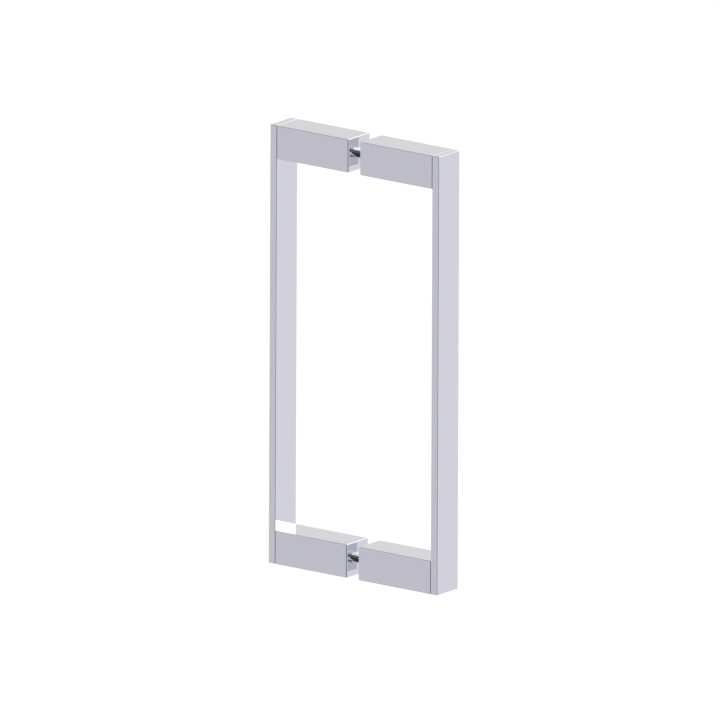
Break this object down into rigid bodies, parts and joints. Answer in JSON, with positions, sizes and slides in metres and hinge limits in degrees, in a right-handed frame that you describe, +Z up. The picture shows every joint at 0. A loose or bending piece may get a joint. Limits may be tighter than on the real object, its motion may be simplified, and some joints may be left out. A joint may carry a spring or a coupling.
{
  "type": "shower door handle",
  "caption": "Back-to-back chrome pull handle for a glass shower door: flat bars on square posts, joined by round studs.",
  "frame": {"origin": "the middle of the door's glass, halfway between the two studs, which is the centre of the handle's box", "axes": "+X out of the shower through the door, +Y along the door, +Z up along the grip bars"},
  "size_m": [0.154, 0.025, 0.33],
  "materials": {
    "bar_chrome": "mirror polished",
    "post_chrome": "mirror polished",
    "plate_chrome": "flat and polished",
    "stud_chrome": "turned and polished",
    "zinc_plated_screw": "zinc plated",
    "ground_dowel": "ground",
    "stainless_set_screw": "as machined"
  },
  "bodies": {
    "root": {"outer_grip_bar": "bar_chrome", "outer_upper_seat_plate": "plate_chrome", "outer_upper_post": "post_chrome", "outer_upper_post_screw": "zinc_plated_screw", "outer_upper_post_dowel": "ground_dowel", "outer_upper_set_screw": "stainless_set_screw", "outer_lower_seat_plate": "plate_chrome", "outer_lower_post": "post_chrome", "outer_lower_post_screw": "zinc_plated_screw", "outer_lower_post_dowel": "ground_dowel", "outer_lower_set_screw": "stainless_set_screw", "inner_grip_bar": "bar_chrome", "inner_upper_seat_plate": "plate_chrome", "inner_upper_post": "post_chrome", "inner_upper_post_screw": "zinc_plated_screw", "inner_upper_post_dowel": "ground_dowel", "inner_upper_set_screw": "stainless_set_screw", "inner_lower_seat_plate": "plate_chrome", "inner_lower_post": "post_chrome", "inner_lower_post_screw": "zinc_plated_screw", "inner_lower_post_dowel": "ground_dowel", "inner_lower_set_screw": "stainless_set_screw", "upper_stud": "stud_chrome", "lower_stud": "stud_chrome"}
  },
  "joints": []
}
